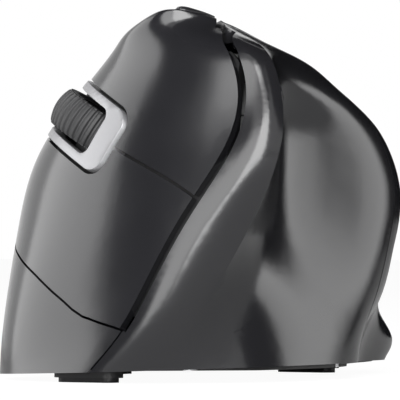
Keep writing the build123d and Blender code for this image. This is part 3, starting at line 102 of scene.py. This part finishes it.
# Studio, in metres. Azimuth 0 stands on -Y and 90 on +X, as seen from above.
CAMERA_PLACE = (0.42455, -0.74294, 0.026)
CAMERA_AZIMUTH = math.radians(30)
CAMERA_AIM = (-math.sin(CAMERA_AZIMUTH), math.cos(CAMERA_AZIMUTH), 0.0)
CAMERA_REACH = 10
# The lens and the sensor in millimetres, and the shift as a share of the sensor.
CAMERA_LENS = 390.15
CAMERA_SENSOR = 36
CAMERA_RISE = 0.1125
LAMP_DISTANCE = 1.1
CARD_DISTANCE = 0.7
AIM_HEIGHT = 0.036
SURROUND_LIGHT = 0.10
FLOOR_REACH = 6.0
FLOOR_DROP = 0.02 * MM
FLOOR_GLOW = 1.12
FLOOR_GLOW_SHARE = 0.85
SQUARE = ((-1, -1), (1, -1), (1, 1), (-1, 1))
# Name, span of azimuth and of elevation in degrees, and a lamp's radiance.
LAMPS = (("lamp_left", (-96, -50), (-2, 32), 2.2),
         ("lamp_front", (-16, 12), (-2, 34), 4.0),
         ("lamp_strip", (14, 50), (-2, 40), 9.0),
         ("lamp_back", (124, 146), (-2, 20), 1.6))
CARDS = (("card_button", (-46, -20), (-2, 50)),
         ("card_scoop", (150, 200), (-2, 50)),
         ("card_side", (84, 122), (-2, 50)),
         ("card_above", (-45, 45), (52, 128)))


class MouseSizes(bpy.types.PropertyGroup):
    """Sizes of the tyre and of the rounded edges."""

    tyre_radius: bpy.props.FloatProperty(
        name="Tyre radius", description="Radius over the ribs at the crown",
        default=11.0 * MM, subtype="DISTANCE", unit="LENGTH")
    tyre_width: bpy.props.FloatProperty(
        name="Tyre width", description="Width of the rubber ring along the axle",
        default=7.4 * MM, subtype="DISTANCE", unit="LENGTH")
    tyre_bore: bpy.props.FloatProperty(
        name="Tyre bore", description="Radius of the hub that the ring sits on",
        default=8.4 * MM, subtype="DISTANCE", unit="LENGTH")
    crown_drop: bpy.props.FloatProperty(
        name="Crown drop", description="How far the tyre's edges fall below its crown",
        default=0.9 * MM, subtype="DISTANCE", unit="LENGTH")
    rib_depth: bpy.props.FloatProperty(
        name="Rib depth", description="Depth of the grooves between the ribs",
        default=0.55 * MM, subtype="DISTANCE", unit="LENGTH")
    rib_count: bpy.props.IntProperty(
        name="Ribs", description="Number of ribs round the tyre", default=44, min=8)
    edge_round: bpy.props.FloatProperty(
        name="Edge rounding", description="Radius of the moulded edges",
        default=0.18 * MM, subtype="DISTANCE", unit="LENGTH")


class MouseColours(bpy.types.PropertyGroup):
    """Colours of the finishes."""

    shell: bpy.props.FloatVectorProperty(
        name="Shell", description="Satin plastic of the shells",
        default=(0.012, 0.012, 0.0135), subtype="COLOR")
    button: bpy.props.FloatVectorProperty(
        name="Buttons", description="Satin plastic of the buttons",
        default=(0.013, 0.013, 0.0148), subtype="COLOR")
    silver: bpy.props.FloatVectorProperty(
        name="Bezel", description="Silver paint of the bezel",
        default=(0.30, 0.30, 0.31), subtype="COLOR")
    black: bpy.props.FloatVectorProperty(
        name="Black plastic", description="Base, inner frame, wheel hub and fork",
        default=(0.012, 0.012, 0.013), subtype="COLOR")
    rubber: bpy.props.FloatVectorProperty(
        name="Rubber", description="Ribbed tyre of the wheel",
        default=(0.022, 0.022, 0.023), subtype="COLOR")


class Socket:
    """A node's output that takes part in Python sums, one Math node for each."""

    def __init__(self, graph, output):
        self.graph = graph
        self.output = output

    def _with(self, operation, first, second):
        return self.graph.node("ShaderNodeMath", {"operation": operation},
                               {0: first, 1: second})

    def __add__(self, other):
        return self._with("ADD", self, other)

    __radd__ = __add__

    def __mul__(self, other):
        return self._with("MULTIPLY", self, other)

    __rmul__ = __mul__

    def __sub__(self, other):
        return self._with("SUBTRACT", self, other)

    def __rsub__(self, other):
        return self._with("SUBTRACT", other, self)

    def __gt__(self, other):
        return self._with("GREATER_THAN", self, other)

    def __or__(self, other):
        return self._with("MAXIMUM", self, other)

    __ror__ = __or__


class Graph:
    """The nodes of a material or of the world."""

    def __init__(self, tree):
        self.tree = tree

    def node(self, kind, settings=None, values=None, out=0):
        """Add a node: its settings first, then its sockets' values or links."""
        made = self.tree.nodes.new(kind)
        for key, value in (settings or {}).items():
            setattr(made, key, value)
        for key, value in (values or {}).items():
            self.feed(made.inputs[key], value)
        return Socket(self, made.outputs[out])

    def feed(self, target, value):
        """Link a socket to an input, or set the input to a plain value."""
        if isinstance(value, Socket):
            self.tree.links.new(value.output, target)
        else:
            target.default_value = value


class Paint(Graph):
    """One material, with its Principled shader and the nodes that feed it."""

    def __init__(self, name, **values):
        self.material = bpy.data.materials.new(name)
        self.material.use_nodes = True
        super().__init__(self.material.node_tree)
        self.shader = self.tree.nodes["Principled BSDF"]
        self.output = self.tree.nodes["Material Output"]
        self.shade(**values)

    def shade(self, **values):
        """Set or feed sockets of the shader by their names with underscores."""
        for key, value in values.items():
            self.feed(self.shader.inputs[key.replace("_", " ")], value)

    def place(self):
        """Object coordinates, which are the part's own metres."""
        return self.node("ShaderNodeTexCoord", out="Object")

    def noise(self, size, detail, stretch=None):
        """Cloudy values from 0 to 1 whose cells are about size across."""
        vector = self.place()
        if stretch:
            vector = self.node("ShaderNodeMapping", {"vector_type": "POINT"},
                               {"Vector": vector, "Scale": stretch})
        return self.node("ShaderNodeTexNoise", {"noise_dimensions": "3D"},
                         {"Vector": vector, "Scale": 1 / size, "Detail": detail},
                         out="Fac")

    def mix(self, share, first, second):
        """A colour between two others, through the Mix node's colour sockets."""
        return self.node("ShaderNodeMix", {"data_type": "RGBA"},
                         {0: share, 6: first, 7: second}, out=2)

    def bump(self, height, depth):
        """Relief of a height field whose full range is depth."""
        return self.node("ShaderNodeBump", {}, {"Height": height, "Distance": depth},
                         out="Normal")

    def textured(self, pattern, low, high, roughness, spread, relief):
        """The material, its colour, roughness and relief all led by one pattern."""
        self.shade(Base_Color=self.mix(pattern, low, high),
                   Roughness=roughness + spread * pattern,
                   Normal=self.bump(pattern, relief))
        return self.material


def shaded(colour, factor):
    """A colour times a factor, with full alpha."""
    return (*(min(1.0, part * factor) for part in colour), 1.0)


def satin_plastic(name, colour, roughness):
    """Moulded plastic: fine spark-eroded grain, a faint mottle in its sheen."""
    paint = Paint(name, IOR=1.56, Specular_IOR_Level=0.5)
    mottle = paint.noise(9 * MM, detail=3.0)
    grain = paint.noise(0.16 * MM, detail=1.0)
    paint.shade(Base_Color=paint.mix(mottle, shaded(colour, 0.92), shaded(colour, 1.08)),
                Roughness=roughness + 0.05 * mottle,
                Normal=paint.bump(grain, 0.0035 * MM))
    return paint.material


def silver_paint(colour):
    """Satin silver lacquer with fine flakes."""
    paint = Paint("silver_paint", Metallic=0.6, Coat_Weight=0.1)
    flake = paint.noise(0.12 * MM, detail=2.0)
    return paint.textured(flake, low=shaded(colour, 0.9), high=shaded(colour, 1.1),
                          roughness=0.38, spread=0.08, relief=0.002 * MM)


def rubber(colour):
    """Matt rubber with a powdery surface."""
    paint = Paint("tyre_rubber", IOR=1.5)
    dust = paint.noise(0.35 * MM, detail=4.0)
    return paint.textured(dust, low=shaded(colour, 0.8), high=shaded(colour, 1.5),
                          roughness=0.52, spread=0.15, relief=0.02 * MM)


def eroded_plastic(name, colour, roughness):
    """Matt plastic with a coarse spark-eroded grain."""
    paint = Paint(name, IOR=1.5)
    grain = paint.noise(0.4 * MM, detail=3.0)
    return paint.textured(grain, low=shaded(colour, 0.8), high=shaded(colour, 1.3),
                          roughness=roughness, spread=0.12, relief=0.02 * MM)


def brushed_steel():
    """Steel with drawn lines along Y."""
    paint = Paint("bright_steel", Metallic=1.0)
    lines = paint.noise(0.2 * MM, detail=3.0, stretch=(1.0, 0.08, 1.0))
    return paint.textured(lines, low=(0.46, 0.46, 0.47, 1), high=(0.62, 0.62, 0.63, 1),
                          roughness=0.24, spread=0.14, relief=0.004 * MM)


def pad_film():
    """Slick dark film of the gliding feet, with hairline scuffs along Y."""
    paint = Paint("glide_film", IOR=1.4)
    scuff = paint.noise(0.5 * MM, detail=3.0, stretch=(1.0, 0.2, 1.0))
    return paint.textured(scuff, low=(0.010, 0.010, 0.011, 1), high=(0.02, 0.02, 0.021, 1),
                          roughness=0.3, spread=0.2, relief=0.006 * MM)


def solder_mask():
    """Black board with copper tracks that show as lighter lines."""
    track_spacing = 2.4 * MM
    half_track = 0.07
    paint = Paint("board_mask", IOR=1.5)
    from_track = paint.node("ShaderNodeTexVoronoi",
                            {"feature": "DISTANCE_TO_EDGE", "distance": "EUCLIDEAN"},
                            {"Vector": paint.place(), "Scale": 1 / track_spacing},
                            out="Distance")
    track = half_track - from_track > 0.0
    weave = paint.noise(0.6 * MM, detail=2.0)
    mask = paint.mix(weave, (0.006, 0.007, 0.007, 1), (0.010, 0.012, 0.011, 1))
    paint.shade(Base_Color=paint.mix(track, mask, (0.03, 0.034, 0.032, 1)),
                Roughness=0.35 + 0.15 * weave,
                Normal=paint.bump(track, 0.03 * MM))
    return paint.material


def clear_lens():
    """Clear acrylic with a barely wavy face."""
    paint = Paint("clear_acrylic", Transmission_Weight=1.0, IOR=1.49)
    wave = paint.noise(2.5 * MM, detail=1.0)
    paint.shade(Base_Color=(0.95, 0.97, 1.0, 1),
                Roughness=0.03 + 0.05 * wave,
                Normal=paint.bump(wave, 0.01 * MM))
    return paint.material


def cell_wrap():
    """Printed film of a round cell: dark, with one plain lighter end band."""
    dark_share = 0.72
    paint = Paint("cell_wrap", IOR=1.5, Coat_Weight=0.4)
    low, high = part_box("battery")
    along = paint.node("ShaderNodeSeparateXYZ", {}, {"Vector": paint.place()}, out="Y")
    band = along > low.y + (high.y - low.y) * dark_share
    scuff = paint.noise(1.5 * MM, detail=4.0)
    dark = paint.mix(scuff, (0.018, 0.018, 0.022, 1), (0.03, 0.03, 0.035, 1))
    paint.shade(Base_Color=paint.mix(band, dark, (0.35, 0.35, 0.36, 1)),
                Roughness=0.22 + 0.12 * scuff,
                Normal=paint.bump(scuff, 0.01 * MM))
    return paint.material


def dress(names, material, edge=0.0):
    """Give CAD nodes a material and smooth faces that split where they turn sharply.

    An edge above zero is the radius to which their sharp edges are rounded.
    """
    for name in names:
        piece = frame["nodes"][name]
        piece.data.materials.clear()
        piece.data.materials.append(material)
        piece.data.shade_smooth()
        weld = piece.modifiers.new("weld", "WELD")
        weld.merge_threshold = WELD_REACH
        if edge:
            bevel = piece.modifiers.new("edges", "BEVEL")
            bevel.width = edge
            bevel.segments = BEVEL_STEPS
            bevel.limit_method = "ANGLE"
            bevel.angle_limit = math.radians(ROUNDED_TURN)
        split = piece.modifiers.new("split", "EDGE_SPLIT")
        split.split_angle = math.radians(SPLIT_TURN)


def surface(name, points, body, material):
    """Piece that rides on a body, from a grid of points (u, v, xyz).

    Its last row meets its first one and so do its columns, so the mesh is closed.
    """
    rows, columns = points.shape[:2]
    index = np.arange(rows * columns).reshape(rows, columns)
    index = np.vstack((index, index[:1]))
    index = np.hstack((index, index[:, :1]))
    quads = np.stack((index[:-1, :-1], index[:-1, 1:], index[1:, 1:], index[1:, :-1]),
                     axis=-1).reshape(-1, 4)
    mesh = bpy.data.meshes.new(name)
    mesh.from_pydata(points.reshape(-1, 3), (), quads.tolist())
    mesh.shade_smooth()
    mesh.materials.append(material)
    mesh.update()
    piece = bpy.data.objects.new(name, mesh)
    bpy.context.scene.collection.objects.link(piece)
    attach(piece, body)
    return piece


def ribbed_tyre(sizes):
    """Points of a closed ring: a rounded section carried round the axle.

    Across is the place along the axle as a share of the half width, and share
    is the way up from the bore to the crown. The section runs across the
    crown, down one side, through the bore and up the other side. The crown
    falls by the square of across, and by nearly a quarter circle at each
    shoulder. Round the axle it is cut by grooves, whose depth follows the
    cosine of the rib angle. A tanh pushes that towards its ends, so that ribs
    and grooves are flat with rounded flanks, and the bias widens the ribs.
    """
    back = np.array(TYRE_RETURN)
    across = np.append(np.linspace(-1, 1, CROWN_STEPS), back[:, 0])
    share = np.append(np.ones(CROWN_STEPS), back[:, 1])
    on_crown = share == 1
    shoulder = np.clip((np.abs(across) - 1) / SHOULDER_WIDTH + 1, 0, 1) * on_crown
    rounding = 1 - np.sqrt(1 - shoulder**2 * SHOULDER_FULLNESS)
    shoulder_drop = sizes.edge_round * 2
    crown = sizes.tyre_radius - sizes.crown_drop * across**2 - shoulder_drop * rounding
    radius = sizes.tyre_bore + (crown - sizes.tyre_bore) * share

    turns = np.linspace(0, 2 * np.pi, sizes.rib_count * STEPS_PER_RIB, endpoint=False)
    wave = np.tanh(FLANK_STEEPNESS * (np.cos(sizes.rib_count * turns) + RIB_BIAS))
    groove = 0.5 - 0.5 * wave / np.tanh(FLANK_STEEPNESS * (1 + RIB_BIAS))
    ring = radius[None, :] - sizes.rib_depth * groove[:, None] * on_crown[None, :]

    side = np.cross(WHEEL_AXIS, WHEEL_OUT)
    outward = np.cos(turns)[:, None] * WHEEL_OUT + np.sin(turns)[:, None] * side
    along = across * sizes.tyre_width / 2
    return (WHEEL_CENTRE + ring[..., None] * outward[:, None, :]
            + along[None, :, None] * WHEEL_AXIS)


class MakeShells(bpy.types.Operator):
    """Finish the shells, both main buttons, the small buttons and the bezel"""

    bl_idname = "mouse.make_shells"
    bl_label = "Shells and buttons"

    def execute(self, context):
        sizes, colours = context.scene.mouse_sizes, context.scene.mouse_colours
        shell = satin_plastic("shell_satin", colours.shell, roughness=0.15)
        button = satin_plastic("button_satin", colours.button, roughness=0.15)
        dress(SHELLS, shell)
        dress(BUTTONS, button)
        dress(SMALL_BUTTONS, button, sizes.edge_round)
        dress(("wheel_bezel",), silver_paint(colours.silver), sizes.edge_round)
        return {"FINISHED"}


class MakeWheel(bpy.types.Operator):
    """Make the ribbed tyre and finish the hub and the fork"""

    bl_idname = "mouse.make_wheel"
    bl_label = "Scroll wheel"

    def execute(self, context):
        sizes, colours = context.scene.mouse_sizes, context.scene.mouse_colours
        tyre = surface("ribbed_tyre", ribbed_tyre(sizes), "wheel_body",
                       rubber(colours.rubber))
        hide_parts("wheel_tyre")
        plastic = eroded_plastic("wheel_plastic", colours.black, roughness=0.4)
        dress(("wheel_hub", "wheel_carrier"), plastic)
        return {"FINISHED"}


class MakeInside(bpy.types.Operator):
    """Finish the frame, boards, switches, cell, sensor lens and contacts"""

    bl_idname = "mouse.make_inside"
    bl_label = "Inner pieces"

    def execute(self, context):
        colours = context.scene.mouse_colours
        black = eroded_plastic("frame_black", colours.black, roughness=0.5)
        dress(("inner_chassis",), black)
        dress(BOARDS, solder_mask())
        dress(SWITCHES, satin_plastic("switch_black", SWITCH_BLACK, roughness=0.4))
        dress(("battery",), cell_wrap())
        dress(("sensor_lens",), clear_lens())
        dress(STEEL, brushed_steel())
        return {"FINISHED"}


class MakeUnderside(bpy.types.Operator):
    """Finish the base plate, its door, the receiver, the slider and the feet"""

    bl_idname = "mouse.make_underside"
    bl_label = "Underside"

    def execute(self, context):
        sizes, colours = context.scene.mouse_sizes, context.scene.mouse_colours
        base = eroded_plastic("base_black", colours.black, roughness=0.42)
        dress(("base_plate", "battery_door", "usb_receiver"), base)
        grey = satin_plastic("slider_grey", SLIDER_GREY, roughness=0.35)
        dress(("power_slider",), grey)
        dress(PADS, pad_film(), sizes.edge_round)
        return {"FINISHED"}


def aimed(azimuths, elevations, distance):
    """Centre, width, height and way out of a rectangle that spans two angles."""
    azimuth, elevation = (math.radians(sum(span) / 2) for span in (azimuths, elevations))
    width, height = (2 * distance * math.tan(math.radians(span[1] - span[0]) / 2)
                     for span in (azimuths, elevations))
    way = Vector((math.sin(azimuth) * math.cos(elevation),
                  -math.cos(azimuth) * math.cos(elevation), math.sin(elevation)))
    return Vector((0, 0, AIM_HEIGHT)) + way * distance, width, height, way


def softbox(name, azimuths, elevations, radiance):
    """Rectangular lamp that faces the mouse and spans two angles seen from it.

    A rectangle's energy is its radiance times its area and pi.
    """
    centre, width, height, way = aimed(azimuths, elevations, LAMP_DISTANCE)
    lamp = bpy.data.lights.new(name, "AREA")
    lamp.shape = "RECTANGLE"
    lamp.size = width
    lamp.size_y = height
    lamp.energy = radiance * width * height * math.pi
    made = bpy.data.objects.new(name, lamp)
    made.location = centre
    made.rotation_euler = (-way).to_track_quat("-Z", "Y").to_euler()
    made.visible_camera = False
    bpy.context.scene.collection.objects.link(made)


def stage_square(name, corners, paint):
    """Four-cornered sheet of the stage."""
    mesh = bpy.data.meshes.new(name)
    mesh.from_pydata(corners, (), [(0, 1, 2, 3)])
    mesh.materials.append(paint.material)
    made = bpy.data.objects.new(name, mesh)
    bpy.context.scene.collection.objects.link(made)
    return made


def dark_card(name, azimuths, elevations):
    """Matt black card that darkens reflections and casts no shadow."""
    centre, width, height, way = aimed(azimuths, elevations, CARD_DISTANCE)
    side = Vector((-way.y, way.x, 0)).normalized() * width / 2
    rise = way.cross(side).normalized() * height / 2
    black = Paint(name, Base_Color=CARD_BLACK, Roughness=1.0, Specular_IOR_Level=0.0)
    card = stage_square(name, [centre + side * x + rise * y for x, y in SQUARE], black)
    card.visible_camera = False
    card.visible_shadow = False
    card.visible_diffuse = False


def pale_floor():
    """Floor that is white to the camera but for its shadow, and clear from below."""
    paint = Paint("pale_floor", Base_Color=FLOOR_GREY, Roughness=0.9,
                  Specular_IOR_Level=0.0)
    rays = paint.node("ShaderNodeLightPath", out="Is Camera Ray")
    glow = paint.node("ShaderNodeEmission", {}, {"Color": WHITE, "Strength": FLOOR_GLOW})
    lit = Socket(paint, paint.shader.outputs["BSDF"])
    above = paint.node("ShaderNodeMixShader", {},
                       {0: rays * FLOOR_GLOW_SHARE, 1: lit, 2: glow})
    under = paint.node("ShaderNodeNewGeometry", out="Backfacing")
    clear = paint.node("ShaderNodeBsdfTransparent")
    both = paint.node("ShaderNodeMixShader", {}, {0: under, 1: above, 2: clear})
    paint.feed(paint.output.inputs["Surface"], both)
    corners = [(x * FLOOR_REACH, y * FLOOR_REACH, -FLOOR_DROP) for x, y in SQUARE]
    stage_square("floor", corners, paint)


def white_surround(scene):
    """World that is white to the camera, in mirrors and through glass, else dim."""
    world = bpy.data.worlds.new("surround")
    scene.world = world
    world.use_nodes = True
    graph = Graph(world.node_tree)
    camera, glossy, through = (
        graph.node("ShaderNodeLightPath", out=kind)
        for kind in ("Is Camera Ray", "Is Glossy Ray", "Is Transmission Ray"))
    seen = camera | glossy | through
    background = graph.tree.nodes["Background"]
    graph.feed(background.inputs["Color"], WHITE)
    graph.feed(background.inputs["Strength"], SURROUND_LIGHT + (1 - SURROUND_LIGHT) * seen)


def place_camera(scene):
    """Level camera with a long lens, its view shifted up to the mouse."""
    camera = bpy.data.cameras.new("camera")
    camera.sensor_width = CAMERA_SENSOR
    camera.lens = CAMERA_LENS
    camera.shift_y = CAMERA_RISE
    camera.clip_end = CAMERA_REACH
    made = bpy.data.objects.new("camera", camera)
    made.location = CAMERA_PLACE
    made.rotation_euler = Vector(CAMERA_AIM).to_track_quat("-Z", "Y").to_euler()
    scene.collection.objects.link(made)
    scene.camera = made


class MakeStage(bpy.types.Operator):
    """Set up the floor, the lamps, the dark cards, the white surround and the camera"""

    bl_idname = "mouse.make_stage"
    bl_label = "Stage and camera"

    def execute(self, context):
        scene = context.scene
        scene.view_settings.view_transform = "Standard"
        white_surround(scene)
        pale_floor()
        for name, azimuths, elevations, radiance in LAMPS:
            softbox(name, azimuths, elevations, radiance)
        for name, azimuths, elevations in CARDS:
            dark_card(name, azimuths, elevations)
        place_camera(scene)
        return {"FINISHED"}


class MousePanel(bpy.types.Panel):
    """Lists the steps that build the mouse, and its sizes and colours"""

    bl_idname = "VIEW3D_PT_mouse"
    bl_label = "Vertical mouse"
    bl_space_type = "VIEW_3D"
    bl_region_type = "UI"
    bl_category = "Mouse"

    def draw(self, context):
        for step in STEPS:
            self.layout.operator(step.bl_idname)
        for group in (context.scene.mouse_sizes, context.scene.mouse_colours):
            for key in group.__annotations__:
                self.layout.prop(group, key)


STEPS = (MakeShells, MakeWheel, MakeInside, MakeUnderside, MakeStage)
CLASSES = (MouseSizes, MouseColours, *STEPS, MousePanel)


def register():
    """Register the classes and put both groups of properties on the scene."""
    for kind in CLASSES:
        bpy.utils.register_class(kind)
    bpy.types.Scene.mouse_sizes = bpy.props.PointerProperty(type=MouseSizes)
    bpy.types.Scene.mouse_colours = bpy.props.PointerProperty(type=MouseColours)


def unregister():
    """Take away what register added."""
    del bpy.types.Scene.mouse_colours
    del bpy.types.Scene.mouse_sizes
    for kind in reversed(CLASSES):
        bpy.utils.unregister_class(kind)


def main():
    """Register the classes and run every step in order."""
    register()
    bpy.ops.mouse.make_shells()
    bpy.ops.mouse.make_wheel()
    bpy.ops.mouse.make_inside()
    bpy.ops.mouse.make_underside()
    bpy.ops.mouse.make_stage()


if __name__ == "__main__":
    main()
